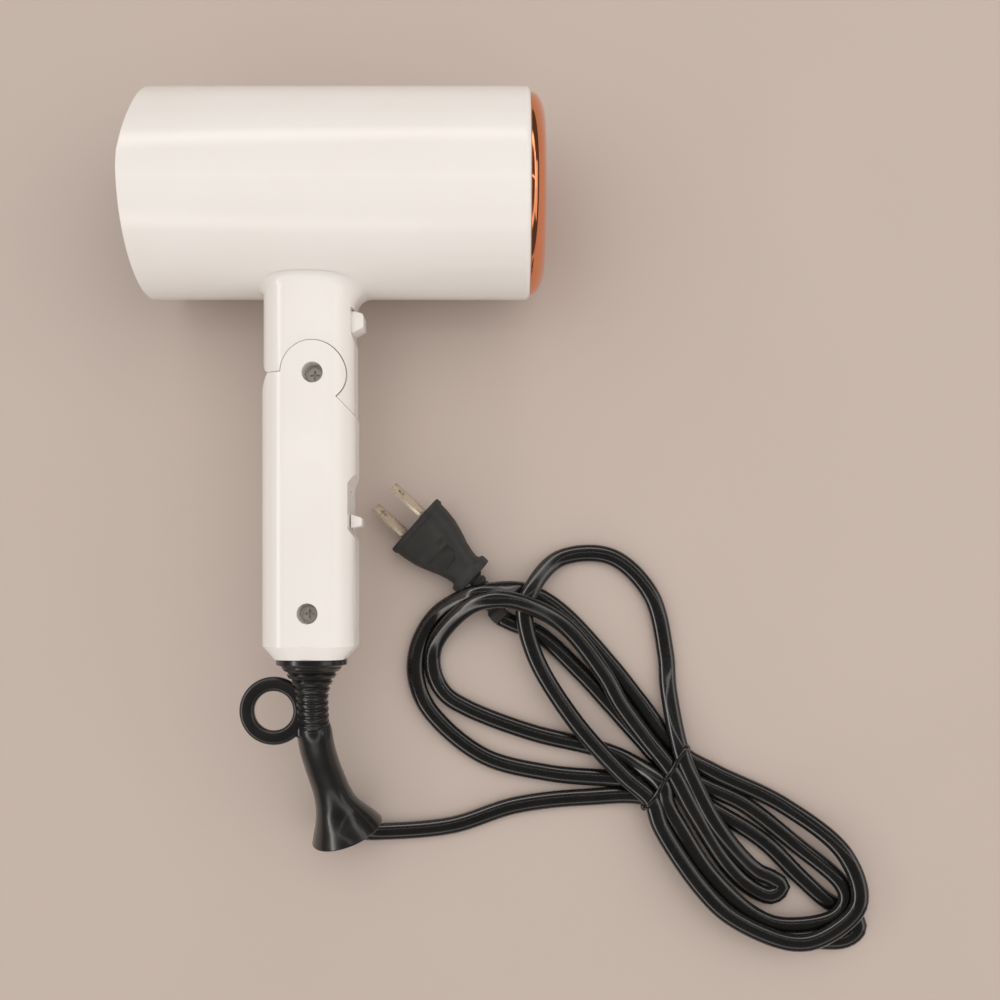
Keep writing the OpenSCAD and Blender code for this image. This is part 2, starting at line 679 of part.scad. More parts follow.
module plug_relief() color("#222222") {
    steps = 24;
    middle = [for (k = [0:steps]) along(relief_path, k / steps)];
    skin([for (k = [0:steps]) let (rib = k % 4 < 2 ? 0 : 1.1)
        oval(middle[k], heading(middle, k), 7.6 - rib, 6.6 - rib, 12)]);
}

module plug_blades() color("silver") at_plug()
    for (s = [-1, 1]) difference() {
        box([plug_face, s * blade_gap / 2 - 0.75, -3.2],
            [plug_face + blade_len, s * blade_gap / 2 + 0.75, 3.2]);
        translate([plug_face + 12.5, 0, 0]) rotate([90, 0, 0]) cylinder(r = 1.6, h = 40, center = true);
    }

// ---------------------------------------------------------------- model
head_shell();
rear_cover();
filter_mesh();
outlet_ring();
outlet_grille();
fan_housing();
motor_can();
motor_bushes();
motor_screws();
rectifier_board();
rectifier_diodes();
mica_tube();
mica_board_flat();
mica_board_upright();
heating_coil();
thermostat();
thermal_fuse();
cool_shot_switch();
head_wires();
hinge_washers();
fan();
motor_shaft();
cool_shot_button();
button_spring();
handle_shell_front();
handle_shell_rear();
handle_screws();
speed_switch();
switch_terminals();
handle_wires();
crimp_caps();
inner_cord();
cord_clamp();
clamp_screws();
boot();
speed_slider();
power_cord();
cord_tie();
plug_body();
plug_relief();
plug_blades();
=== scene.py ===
"""Foldable hair dryer lying on its side: the looks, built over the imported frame."""

import json
import math

import bmesh
import bpy
import numpy as np
from mathutils import Matrix, Vector


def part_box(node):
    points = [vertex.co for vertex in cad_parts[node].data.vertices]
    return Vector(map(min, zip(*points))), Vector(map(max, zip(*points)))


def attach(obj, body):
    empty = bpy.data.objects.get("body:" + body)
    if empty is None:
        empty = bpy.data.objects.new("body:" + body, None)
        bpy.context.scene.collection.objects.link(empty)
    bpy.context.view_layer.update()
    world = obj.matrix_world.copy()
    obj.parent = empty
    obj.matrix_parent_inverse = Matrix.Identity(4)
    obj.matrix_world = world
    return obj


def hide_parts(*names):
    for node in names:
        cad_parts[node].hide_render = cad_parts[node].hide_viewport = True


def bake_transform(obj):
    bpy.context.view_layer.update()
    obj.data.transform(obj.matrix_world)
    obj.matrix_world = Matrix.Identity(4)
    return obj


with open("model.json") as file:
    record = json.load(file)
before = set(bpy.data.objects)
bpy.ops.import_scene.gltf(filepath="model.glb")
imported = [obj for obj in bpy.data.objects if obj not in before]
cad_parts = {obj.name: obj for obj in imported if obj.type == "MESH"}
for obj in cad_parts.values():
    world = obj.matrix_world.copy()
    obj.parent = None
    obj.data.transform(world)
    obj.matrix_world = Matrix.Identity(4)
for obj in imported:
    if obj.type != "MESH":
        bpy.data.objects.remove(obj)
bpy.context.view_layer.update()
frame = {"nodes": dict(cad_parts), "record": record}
nodes = frame["nodes"]

MM = 0.001
TAU = 2 * math.pi

# Places that the frame gives, in millimetres.
ring_low, ring_high = (np.array(c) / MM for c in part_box("outlet_ring"))
shell_low, shell_high = (np.array(c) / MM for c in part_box("head_shell"))
AXIS_Y = (ring_low[1] + ring_high[1]) / 2
AXIS_Z = (ring_low[2] + ring_high[2]) / 2
REAR_X = shell_low[0]
LIP_X = shell_high[0]
BARREL_R = AXIS_Z

# ---------------------------------------------------------------- camera
CAMERA_AT = (0.06495, -0.0514, 0.516)  # metres, looking straight down
FOCAL, SENSOR = 43.2, 36
camera_data = bpy.data.cameras.new("camera")
camera_data.lens = FOCAL
camera_data.sensor_width = SENSOR
camera_data.shift_x = -0.010
camera_data.shift_y = 0.110
camera_data.clip_start = 0.01
camera = bpy.data.objects.new("camera", camera_data)
camera.location = CAMERA_AT
bpy.context.scene.collection.objects.link(camera)
bpy.context.scene.camera = camera
bpy.context.scene.view_settings.view_transform = "Standard"


# ---------------------------------------------------------------- mesh helpers
def link_mesh(name, verts, faces, smooth=True):
    """A new object from vertices in millimetres."""
    mesh = bpy.data.meshes.new(name)
    mesh.from_pydata([tuple(np.array(v) * MM) for v in verts], [], [tuple(f) for f in faces])
    mesh.update()
    obj = bpy.data.objects.new(name, mesh)
    bpy.context.scene.collection.objects.link(obj)
    bm = bmesh.new()
    bm.from_mesh(mesh)
    bmesh.ops.recalc_face_normals(bm, faces=bm.faces)
    bm.to_mesh(mesh)
    bm.free()
    mesh.polygons.foreach_set("use_smooth", [smooth] * len(mesh.polygons))
    return obj


def loft(name, rings, caps=True, closed=False):
    """Skins rings of equally many points. closed joins the last ring to the first."""
    count, sides = len(rings), len(rings[0])
    verts = [p for ring in rings for p in ring]
    faces = []
    for i in range(count if closed else count - 1):
        a, b = i * sides, (i + 1) % count * sides
        faces += [(a + k, b + k, b + (k + 1) % sides, a + (k + 1) % sides) for k in range(sides)]
    if caps and not closed:
        faces.append(tuple(range(sides)))
        faces.append(tuple((count - 1) * sides + k for k in reversed(range(sides))))
    return link_mesh(name, verts, faces)


def lathe_x(name, profile, segments=192, closed=False):
    """Turns a profile of (x, radius) about the barrel's axis."""
    rings = []
    for x, r in profile:
        turn = [TAU * k / segments for k in range(segments)]
        rings.append([(x, AXIS_Y + r * math.cos(a), AXIS_Z + r * math.sin(a)) for a in turn])
    return loft(name, rings, caps=False, closed=closed)


def arc(centre, radius, start, stop, steps):
    """Points on a circle, from start to stop in degrees."""
    angles = np.radians(np.linspace(start, stop, steps + 1))
    return [(centre[0] + radius * math.cos(a), centre[1] + radius * math.sin(a)) for a in angles]


def round_rect(width, height, radius, steps=8):
    """Outline of a rectangle with round corners, and its outward normals."""
    points, normals = [], []
    for corner, (sx, sy) in enumerate([(1, 1), (-1, 1), (-1, -1), (1, -1)]):
        for k in range(steps + 1):
            a = math.radians(corner * 90 + 90 * k / steps)
            n = (math.cos(a), math.sin(a))
            centre_x, centre_y = sx * (width / 2 - radius), sy * (height / 2 - radius)
            points.append((centre_x + radius * n[0], centre_y + radius * n[1]))
            normals.append(n)
    return points, normals


def soft_rect(width, height, radius, face_radius=60.0, steps=14):
    """The neck's outline: a rectangle with round corners whose front and back bulge, and its normals."""
    side = width / 2 - radius
    centre_y = height / 2 - face_radius + math.sqrt((face_radius - radius) ** 2 - side**2)
    lean = math.degrees(math.asin(side / (face_radius - radius)))
    points, normals = [], []
    for turn in (0, 180):
        spans = [(0, 90 - lean, side, centre_y, radius),
                 (90 - lean, 90 + lean, 0, height / 2 - face_radius, face_radius),
                 (90 + lean, 180, -side, centre_y, radius)]
        for start, stop, cx, cy, r in spans:
            for k in range(steps):
                a = math.radians(start + (stop - start) * k / steps)
                n = np.array([math.cos(a), math.sin(a)])
                flip = 1 if turn == 0 else -1
                points.append(tuple(flip * (np.array([cx, cy]) + r * n)))
                normals.append(tuple(flip * n))
    return points, normals


def curve_through(points, step):
    """A centripetal Catmull-Rom curve through the points, resampled at an even step."""
    p = np.array(points, float)
    p = np.vstack([2 * p[0] - p[1], p, 2 * p[-1] - p[-2]])
    fine = []
    for p0, p1, p2, p3 in zip(p, p[1:], p[2:], p[3:]):
        t0 = 0.0
        t1 = t0 + np.linalg.norm(p1 - p0) ** 0.5
        t2 = t1 + np.linalg.norm(p2 - p1) ** 0.5
        t3 = t2 + np.linalg.norm(p3 - p2) ** 0.5
        for t in np.linspace(t1, t2, 20, endpoint=False):
            a1 = (t1 - t) / (t1 - t0) * p0 + (t - t0) / (t1 - t0) * p1
            a2 = (t2 - t) / (t2 - t1) * p1 + (t - t1) / (t2 - t1) * p2
            a3 = (t3 - t) / (t3 - t2) * p2 + (t - t2) / (t3 - t2) * p3
            b1 = (t2 - t) / (t2 - t0) * a1 + (t - t0) / (t2 - t0) * a2
            b2 = (t3 - t) / (t3 - t1) * a2 + (t - t1) / (t3 - t1) * a3
            fine.append((t2 - t) / (t2 - t1) * b1 + (t - t1) / (t2 - t1) * b2)
    fine = np.array(fine + [p[-2]])
    along = np.concatenate([[0], np.cumsum(np.linalg.norm(np.diff(fine, axis=0), axis=1))])
    count = max(2, round(along[-1] / step))
    even = np.linspace(0, along[-1], count + 1)
    return np.stack([np.interp(even, along, fine[:, i]) for i in range(3)], axis=1)


def frames_along(path):
    """Tangent, sideways and upward directions at each point of a path that never runs straight up."""
    tangent = np.gradient(path, axis=0)
    tangent /= np.linalg.norm(tangent, axis=1)[:, None]
    side = np.cross([0, 0, 1], tangent)
    side /= np.linalg.norm(side, axis=1)[:, None]
    return tangent, side, np.cross(tangent, side)


def smoothstep(low, high, x):
    t = np.clip((np.asarray(x, float) - low) / (high - low), 0, 1)
    return t * t * (3 - 2 * t)


# ---------------------------------------------------------------- materials
def new_material(name):
    material = bpy.data.materials.new(name)
    material.use_nodes = True
    tree = material.node_tree
    return material, tree, tree.nodes["Principled BSDF"]


def add(tree, kind, **values):
    node = tree.nodes.new(kind)
    for key, value in values.items():
        if key in node.inputs:
            node.inputs[key].default_value = value
        else:
            setattr(node, key, value)
    return node


def noise(tree, scale, detail, roughness=0.5):
    """Object-space noise, so that it stays put on the piece."""
    place = add(tree, "ShaderNodeTexCoord")
    node = add(tree, "ShaderNodeTexNoise", Scale=scale, Detail=detail, Roughness=roughness)
    tree.links.new(place.outputs["Object"], node.inputs["Vector"])
    return node.outputs["Fac"]


def spread(tree, factor, low, high, start=0.3, stop=0.7):
    node = add(tree, "ShaderNodeMapRange")
    node.inputs["From Min"].default_value = start
    node.inputs["From Max"].default_value = stop
    node.inputs["To Min"].default_value = low
    node.inputs["To Max"].default_value = high
    tree.links.new(factor, node.inputs["Value"])
    return node.outputs["Result"]


def blend_colours(tree, factor, first, second):
    node = add(tree, "ShaderNodeMix", data_type="RGBA")
    for socket in node.inputs:
        if socket.type == "RGBA":
            socket.default_value = (*(first if socket.name == "A" else second), 1)
    tree.links.new(factor, node.inputs["Factor"])
    return next(s for s in node.outputs if s.type == "RGBA")


def surface(name, dark, light, roughness, grain_scale, grain_depth, tone_scale=40.0, bevel=0.0, **sockets):
    """A material whose tone drifts from dark to light, whose roughness varies, and which has a fine grain."""
    material, tree, shader = new_material(name)
    tone = spread(tree, noise(tree, tone_scale, 4.0), 0, 1)
    tree.links.new(blend_colours(tree, tone, dark, light), shader.inputs["Base Color"])
    wear = noise(tree, tone_scale * 3.1, 5.0, 0.6)
    tree.links.new(spread(tree, wear, roughness[0], roughness[1]), shader.inputs["Roughness"])
    bump = add(tree, "ShaderNodeBump", Strength=1.0, Distance=grain_depth * MM)
    tree.links.new(noise(tree, grain_scale, 2.0), bump.inputs["Height"])
    if bevel:
        rounded = add(tree, "ShaderNodeBevel", samples=6, Radius=bevel * MM)
        tree.links.new(rounded.outputs["Normal"], bump.inputs["Normal"])
    tree.links.new(bump.outputs["Normal"], shader.inputs["Normal"])
    for key, value in sockets.items():
        shader.inputs[key.replace("_", " ")].default_value = value
    return material


MATERIALS = {
    "white_shell": surface(
        "white_shell", (0.815, 0.785, 0.750), (0.835, 0.808, 0.776), (0.14, 0.20), 900, 0.0012, 25,
        bevel=0.35, Specular_IOR_Level=0.3, Coat_Weight=0.15, Coat_Roughness=0.06),
    "rose_gold": surface(
        "rose_gold", (0.86, 0.32, 0.155), (0.90, 0.35, 0.175), (0.06, 0.12), 700, 0.002, 60, Metallic=1.0),
    "black_grille": surface(
        "black_grille", (0.012, 0.012, 0.012), (0.022, 0.021, 0.020), (0.32, 0.45), 2500, 0.01, bevel=0.2),
    "steel_mesh": surface(
        "steel_mesh", (0.30, 0.30, 0.31), (0.42, 0.42, 0.43), (0.35, 0.5), 3000, 0.03, Metallic=1.0),
    "steel": surface(
        "steel", (0.50, 0.49, 0.45), (0.64, 0.62, 0.57), (0.34, 0.48), 1600, 0.01, 90,
        bevel=0.15, Metallic=0.6),
    "brass": surface(
        "brass", (0.72, 0.65, 0.52), (0.78, 0.71, 0.58), (0.24, 0.32), 1500, 0.002, 60, Metallic=0.8),
    "board_green": surface(
        "board_green", (0.02, 0.10, 0.04), (0.03, 0.15, 0.06), (0.35, 0.5), 1500, 0.02),
    "black_plastic": surface(
        "black_plastic", (0.015, 0.015, 0.015), (0.03, 0.03, 0.03), (0.4, 0.55), 2500, 0.02, bevel=0.2),
    "mica": surface(
        "mica", (0.42, 0.33, 0.20), (0.58, 0.48, 0.32), (0.45, 0.6), 600, 0.03, 90),
    "coil_wire": surface(
        "coil_wire", (0.25, 0.22, 0.20), (0.40, 0.37, 0.34), (0.35, 0.5), 2500, 0.01, 200, Metallic=1.0),
    "wire_red": surface(
        "wire_red", (0.30, 0.01, 0.01), (0.38, 0.02, 0.015), (0.3, 0.4), 2000, 0.01),
    "washer": surface(
        "washer", (0.62, 0.60, 0.52), (0.70, 0.68, 0.60), (0.4, 0.5), 1500, 0.01),
    "fan_white": surface(
        "fan_white", (0.55, 0.54, 0.50), (0.62, 0.61, 0.57), (0.3, 0.42), 1500, 0.01, bevel=0.2),
    "inner_plastic": surface(
        "inner_plastic", (0.05, 0.05, 0.052), (0.075, 0.075, 0.078), (0.4, 0.55), 2000, 0.02, bevel=0.2),
    "boot_rubber": surface(
        "boot_rubber", (0.004, 0.004, 0.0038), (0.008, 0.0078, 0.0074), (0.28, 0.38), 1800, 0.006, 60,
        Specular_IOR_Level=0.45, Coat_Weight=0.7, Coat_Roughness=0.14),
    "cord_black": surface(
        "cord_black", (0.0035, 0.0033, 0.003), (0.007, 0.0065, 0.006), (0.22, 0.32), 900, 0.006, 70,
        Specular_IOR_Level=0.4, Coat_Weight=1.0, Coat_Roughness=0.05),
    "plug_black": surface(
        "plug_black", (0.020, 0.020, 0.019), (0.033, 0.032, 0.030), (0.46, 0.60), 2600, 0.03, 80),
}


def paint(obj, slot_name):
    """Gives a piece its material in every slot."""
    obj.data.materials.clear()
    obj.data.materials.append(MATERIALS[slot_name])
    for polygon in obj.data.polygons:
        polygon.material_index = 0


def finished(obj, body, slot_name, *replaced):
    """A new piece: its material, its body, the record's slot and the CAD nodes it stands for."""
    paint(obj, slot_name)
    if body:
        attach(obj, body)
    if replaced:
        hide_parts(*replaced)
    return obj


def add_bevel(obj, width, segments=3, angle=30):
    modifier = obj.modifiers.new("bevel", "BEVEL")
    modifier.width = width * MM
    modifier.segments = segments
    modifier.limit_method = "ANGLE"
    modifier.angle_limit = math.radians(angle)
    modifier.harden_normals = False
    return modifier


def softened(node, body, slot_name, width, suffix="_moulded"):
    """A copy of a CAD node with its faces joined and its edges rounded, in place of the node."""
    mesh = nodes[node].data.copy()
    mesh.name = node + suffix
    bm = bmesh.new()
    bm.from_mesh(mesh)
    bmesh.ops.remove_doubles(bm, verts=bm.verts, dist=0.003 * MM)
    bmesh.ops.dissolve_limit(bm, angle_limit=math.radians(1), verts=bm.verts, edges=bm.edges)
    bm.to_mesh(mesh)
    bm.free()
    mesh.polygons.foreach_set("use_smooth", [True] * len(mesh.polygons))
    if mesh.has_custom_normals:
        mesh.attributes.remove(mesh.attributes["custom_normal"])
    obj = bpy.data.objects.new(node + suffix, mesh)
    bpy.context.scene.collection.objects.link(obj)
    add_bevel(obj, width)
    return finished(obj, body, slot_name, node)


# ---------------------------------------------------------------- cord
CORD_W, CORD_T = 7.4, 4.8
C1 = [137.4, -112, 3.6]
C2 = [133, -119, 3.6]
C3 = [129, -125, 3.6]
C4 = [124.6, -132, 3.6]
LIFT = 5.1


def high(point):
    return [point[0], point[1], point[2] + LIFT]


ROUTE = [
    [-4.5, -137, 13.5], [-1.5, -142, 9], [3.5, -145.5, 5.5], [10, -146, 3.4], [40, -143.5, 2.5],
    [67, -135, 2.5], [97, -131.5, 2.5], C4,
    # out to the far end of the hank and back
    [133, -142, 2.5], [149, -167, 2.5], [172, -186, 2.5], [186, -191, 2.5], [208, -192.5, 2.5],
    [214, -187.5, 2.5], [210.5, -180.5, 2.5], [201, -176, 2.5], [190, -166.5, 2.5], [173, -150, 2.5],
    [153, -137.5, 2.5], C3,
    # near loop beside the handle
    [110, -123.5, 2.5], [81, -121, 2.5], [53, -113.5, 2.5], [30, -93.5, 2.5], [24.5, -79, 2.5],
    [26, -66, 2.5], [33, -54, 4], [43.5, -47, 9], [52, -44.3, 12.3], [68, -42.8, 6], [78, -46, 2.5],
    [89, -54, 2.5], [109, -76, 2.5], [120, -90, 2.5], C1,
    # upper loop at the far end
    [152, -120.5, 2.5], [182, -135, 3.5], [206, -154.5, 11], [211.5, -175, 12.5], [196, -189, 12.5],
    [183, -191, 12.5], [158, -180.5, 12.5], [145, -168, 12], [128.5, -143, 9.5], high(C4),
    # loop under the barrel's outlet
    [113, -121.5, 7.8], [92, -98, 7.5], [75.5, -71, 7.5], [71, -51.5, 9.5], [73.5, -43.5, 9.5],
    [86, -29.5, 3.5], [108, -28.5, 2.5], [125, -44.5, 2.5], [131.5, -70, 2.5], [132.5, -85, 4],
    high(C1),
    # short fold
    [142, -123, 7.8], [153, -143.5, 7.5], [170, -162.6, 3.4], [177, -166, 2.9], [181.3, -169.8, 2.5],
    [177, -173.7, 2.5], [167, -169.6, 2.5], [157.5, -160, 4], [142.5, -136.5, 8.2], high(C2),
    # second near loop, over the plug's lead
    [122, -105, 7.5], [112, -91.5, 7.5], [105, -79, 7.5], [88, -58, 8.5], [70, -48.5, 14.8],
    [58, -47, 17.3], [47, -50.5, 14], [33, -66, 4.5], [32, -77, 2.5], [37, -87, 2.5], [47, -93.5, 2.5],
    [75, -104, 2.5], [102, -110.5, 2.5], [115, -115.5, 3], high(C3),
    # inner loop at the far end
    [131.5, -134, 7.5], [137, -144, 7.5], [150, -164, 7.5], [168, -180.5, 7.5], [180, -185, 7.5],
    [202, -182, 7.5], [207.5, -175.5, 7.5], [206, -168, 7.3], [187, -151.5, 2.5], [165, -134.5, 2.5],
    [149, -127, 2.5], C2,
    # lead to the plug
    [120, -105.5, 2.5], [107, -91, 2.5], [96, -79, 2.5], [77, -61.5, 2.5], [66, -57, 2.8], [60.6, -54.4, 3.4]]


def oval_ring(centre, side, up, width, height, sides=24, flatness=2.1):
    """A flat oval with full round edges, across a path."""
    ring = []
    for k in range(sides):
        a = TAU * k / sides
        c, s = math.cos(a), math.sin(a)
        x = math.copysign(abs(c) ** (2 / flatness), c) * width / 2
        y = math.copysign(abs(s) ** (2 / flatness), s) * height / 2
        ring.append(centre + side * x + up * y)
    return ring


def make_cord():
    path = curve_through(ROUTE, 2.2)
    path[:, 2] = np.maximum(path[:, 2], CORD_T / 2 + 0.02)
    _, side, up = frames_along(path)
    rings = [oval_ring(path[i], side[i], up[i], CORD_W, CORD_T) for i in range(len(path))]
    cord = loft("power_cord_lead", rings)
    finished(cord, None, "cord_black", "power_cord")
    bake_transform(cord)
    length = float(np.linalg.norm(np.diff(path, axis=0), axis=1).sum()) * MM
    print("cord length", round(length, 4))


def make_tie():
    """A thin twisted tie round the hank, with a knot of three turns at each end."""
    loop_long, loop_high, loop_corner = 32.6, 11.2, 3.2
    band_half_width, band_half_thickness, twists, most_lean = 0.95, 0.42, 7, 0.35
    outline, _ = round_rect(loop_long, loop_high, loop_corner, 6)
    loop = np.array(outline + outline[:1])
    along = np.concatenate([[0], np.cumsum(np.linalg.norm(np.diff(loop, axis=0), axis=1))])
    even = np.linspace(0, along[-1], 141)[:-1]
    u, v = np.interp(even, along, loop[:, 0]), np.interp(even, along, loop[:, 1])
    turn = math.radians(-33)
    across = np.array([-math.sin(turn), math.cos(turn), 0])
    middle = np.array([131, -122, 6.15])
    centres = middle + np.outer(u, across) + np.outer(v, [0, 0, 1])
    tangent = np.roll(centres, -1, axis=0) - np.roll(centres, 1, axis=0)
    tangent /= np.linalg.norm(tangent, axis=1)[:, None]
    flat = np.array([math.cos(turn), math.sin(turn), 0])
    rings = []
    for i, centre in enumerate(centres):
        out = np.cross(tangent[i], flat)
        lean = most_lean * math.sin(TAU * twists * i / len(centres))
        ring = []
        for k in range(12):
            a = TAU * k / 12
            w = band_half_width * math.cos(a)
            t = band_half_thickness * math.sin(a)
            x = w * math.cos(lean) - t * math.sin(lean)
            y = w * math.sin(lean) + t * math.cos(lean)
            ring.append(centre + flat * x + out * y)
        rings.append(ring)
    obj = loft("cord_tie_band", rings, closed=True)
    bm = bmesh.new()
    bm.from_mesh(obj.data)
    for end in (-1, 1):
        for j in range(3):
            centre = middle + across * end * (16.2 - 0.3 * j) + flat * (j - 1) * 1.1
            centre = centre + np.array([0, 0, 2.2 - 1.3 * j])
            matrix = Matrix.Translation(Vector(centre * MM)) @ Matrix.Rotation(0.7 * j + end, 4, "Z")
            matrix = matrix @ Matrix.Diagonal((1.5 * MM, 1.05 * MM, 1.3 * MM, 1))
            bmesh.ops.create_icosphere(bm, subdivisions=2, radius=1, matrix=matrix)
    bm.to_mesh(obj.data)
    bm.free()
    obj.data.polygons.foreach_set("use_smooth", [True] * len(obj.data.polygons))
    return finished(obj, "head", "cord_black", "cord_tie")


# ---------------------------------------------------------------- plug
PLUG_AT = np.array([35.5, -25, 9.75])
PLUG_TURN, PLUG_TILT, PLUG_ROLL = 138, 4.9, -27
PLUG_MATRIX = (
    Matrix.Translation(Vector(PLUG_AT))
    @ Matrix.Rotation(math.radians(PLUG_TURN), 4, "Z")
    @ Matrix.Rotation(math.radians(-PLUG_TILT), 4, "Y")
    @ Matrix.Rotation(math.radians(PLUG_ROLL), 4, "X"))
# Place along the plug's axis, width, thickness and corner radius, from the collar to the face.
PLUG_RINGS = [
    (-19, 18.4, 12.0, 5.5), (-18.8, 19.1, 12.7, 5.8), (-18.4, 19.4, 13, 6), (-15.8, 19.4, 13, 6),
    (-15.3, 18.6, 12.8, 5.9), (-14.8, 16.0, 12.2, 5.6), (-13.6, 15.3, 11.9, 5.5), (-11, 16.2, 12.0, 5.6),
    (-7, 18.6, 12.4, 5.8), (-4, 21.3, 12.6, 5.8), (-1, 23.6, 12.8, 5.8), (3, 26.2, 13.2, 5.8),
    (8, 28.0, 13.3, 5.8), (11.7, 28.6, 13.4, 5.8), (11.85, 28.7, 13.5, 5.8), (12.15, 29.6, 14.0, 6.1),
    (12.4, 29.8, 14.2, 6.2), (14.1, 29.8, 14.2, 6.2), (14.5, 29.5, 13.9, 6.1), (14.7, 28.9, 13.3, 5.9)]


def make_plug():
    """The plug's moulding: collar, waist, body with a thumb pad on each flat, and the face's rim."""
    pad_front, pad_half, pad_back, pad_depth, rim_height = 6.0, 6.0, 9.5, 0.9, 0.35
    table = np.array(PLUG_RINGS)
    stations = np.unique(np.concatenate([table[:, 0], np.linspace(-13.5, 11.7, 64)]))
    rings = []
    for x in stations:
        width, thick, radius = (np.interp(x, table[:, 0], table[:, i]) for i in (1, 2, 3))
        outline, _ = round_rect(width, thick, radius, 15)
        ring = []
        for y, z in outline:
            # A thumb pad, straight towards the face and round towards the cord, is sunk into both flats.
            inside = min(pad_front - x, pad_half - abs(y), x + pad_back - 0.13 * y * y)
            depth = pad_depth * float(smoothstep(-0.1, 0.35, inside))
            rim = rim_height * float(smoothstep(0.8, 0.0, abs(inside + 0.7)))
            if abs(z) > 2.5:
                z -= math.copysign(depth - rim, z)
            ring.append(tuple(PLUG_MATRIX @ Vector((x, y, z))))
        rings.append(ring)
    return finished(loft("plug_moulding", rings), "head", "plug_black", "plug_body")


RELIEF_PATH = [[49.5, -37.5, 8.1], [51.8, -40.2, 7.2], [54.3, -43.9, 5.7], [56.6, -48, 4.4],
               [58.8, -51.8, 3.9], [61.7, -55, 3.7]]


def make_relief():
    """Ribbed strain relief between the plug's collar and the square block that the cord leaves."""
    ribs_end, block_end, ribs = 0.80, 0.97, 6  # shares of the length, and the number of ribs
    path = curve_through(RELIEF_PATH, 0.4)
    _, side, up = frames_along(path)
    rings = []
    last = len(path) - 1
    for i, centre in enumerate(path):
        share = i / last
        if share > ribs_end:
            size = 7.6 if share < block_end else 6.9
            rings.append(oval_ring(centre, side[i], up[i], size, size - 0.7, 24, 7))
        else:
            rib = 0.5 + 0.5 * math.cos(TAU * share / ribs_end * ribs)
            width = 6.0 + 1.7 * float(smoothstep(0.35, 0.65, rib)) * (1 - 0.25 * share)
            rings.append(oval_ring(centre, side[i], up[i], width, width - 0.9, 24, 3.2))
    return finished(loft("plug_strain_relief", rings), "head", "plug_black", "plug_relief")


plug = make_plug()
relief = make_relief()
tie = make_tie()
make_cord()
softened("plug_blades", "head", "brass", 0.25)


# ---------------------------------------------------------------- barrel and ring
SKIN = 0.03  # how far the smooth skin stands off the shell
# Heights over the axis, and how far the rear rim leans forward there.
LEAN_HEIGHTS, LEANS = [-3, 3, 20, 45], [0, 0.3, 3.2, 6.5]
LEAN_REACH = 12  # the lean fades out this far along the barrel


def make_barrel_skin():
    """A smooth skin over the barrel, with its rear rim and its rounded front lip."""
    r = BARREL_R + SKIN
    rear, front = REAR_X - SKIN, LIP_X + SKIN
    edge, lip, wall = 0.7, 2.2, 2.0
    profile = [(rear + 0.3, BARREL_R - wall - 0.3), (rear, BARREL_R - wall), (rear, r - edge)]
    profile += arc((rear + edge, r - edge), edge, 180, 90, 6)
    profile += arc((front - lip, r - lip), lip, 90, 0, 10)
    profile += [(front, BARREL_R - 2.35)]
    skin = lathe_x("barrel_skin", profile, 256)
    # The rear end leans forward above the handle's side, as the shell's does.
    for vertex in skin.data.vertices:
        x, y, _ = vertex.co / MM
        lean = float(np.interp(y - AXIS_Y, LEAN_HEIGHTS, LEANS))
        share = 1 - float(smoothstep(0, LEAN_REACH, x - rear))
        vertex.co.x += lean * share * MM
    return finished(skin, "head", "white_shell")


def make_neck_fillet():
    """Rolling-ball fillet between the barrel and the neck."""
    width, thick, corner = 35.6, 33.8, 11.8
    neck_x = -13.8
    outline, normals = soft_rect(width + 2 * SKIN, thick + 2 * SKIN, corner)
    steps = 10
    rings = []
    for step in range(-1, steps + 2):
        ring = []
        for (x, z), (nx, nz) in zip(outline, normals):
            ball = 4.2 + 1.8 * nx
            reach = BARREL_R + SKIN + ball
            centre = np.array([x + ball * nx, 0, z + ball * nz])
            centre[1] = -math.sqrt(reach**2 - centre[2] ** 2)
            wall = np.array([-nx, 0, -nz])
            skin = np.array([0, -centre[1], -centre[2]]) / reach
            full = math.acos(float(np.clip(wall @ skin, -1, 1)))
            share = min(max(step / steps, 0), 1)
            ray = (math.sin((1 - share) * full) * wall + math.sin(share * full) * skin) / math.sin(full)
            point = centre + ball * ray
            if step < 0:
                point = point + np.array([nx * -0.2, -1.0, nz * -0.2])
            if step > steps:
                out = np.array([nx, 0, nz])
                point = point * [1, 1 - 0.2 / BARREL_R, 1 - 0.2 / BARREL_R] + out * 0.8
            ring.append((neck_x + point[0], AXIS_Y + point[1], AXIS_Z + point[2]))
        rings.append(ring)
    return finished(loft("neck_fillet", rings, caps=False), "head", "white_shell")


def make_ring():
    """The convex outlet ring, with its bore and the skirt that clips into the barrel."""
    rim_r, foot_r, crest_r, bore_r, lip = 37.3, 38.0, 27.0, 24.5, 2.5
    skirt_r = rim_r - 1.7
    proud = ring_high[0] - LIP_X
    outer = [(LIP_X + SKIN + 0.02, rim_r)]
    outer += [(LIP_X + 0.1 + (proud - 0.1) * math.sin(a), crest_r + (foot_r - crest_r) * math.cos(a))
              for a in np.radians(np.linspace(0, 90, 33))]
    inner = [(LIP_X + proud - lip * (1 - math.cos(a)), crest_r - lip * math.sin(a))
             for a in np.radians(np.linspace(6, 90, 15))]
    back = [(-6.85, bore_r), (-6.85, crest_r), (-2.85, crest_r)]
    back += [(-2.85, skirt_r), (-8.35, skirt_r), (-8.35, rim_r)]
    back = [(LIP_X + x, r) for x, r in back]
    obj = lathe_x("outlet_ring_chromed", outer + inner + back, 256, closed=True)
    add_bevel(obj, 0.2, 2, 40)
    return finished(obj, "head", "rose_gold", "outlet_ring")


make_barrel_skin()
make_neck_fillet()
make_ring()
softened("cool_shot_button", "cool_shot_button", "white_shell", 0.5)
softened("speed_slider", "speed_slider", "white_shell", 0.4)

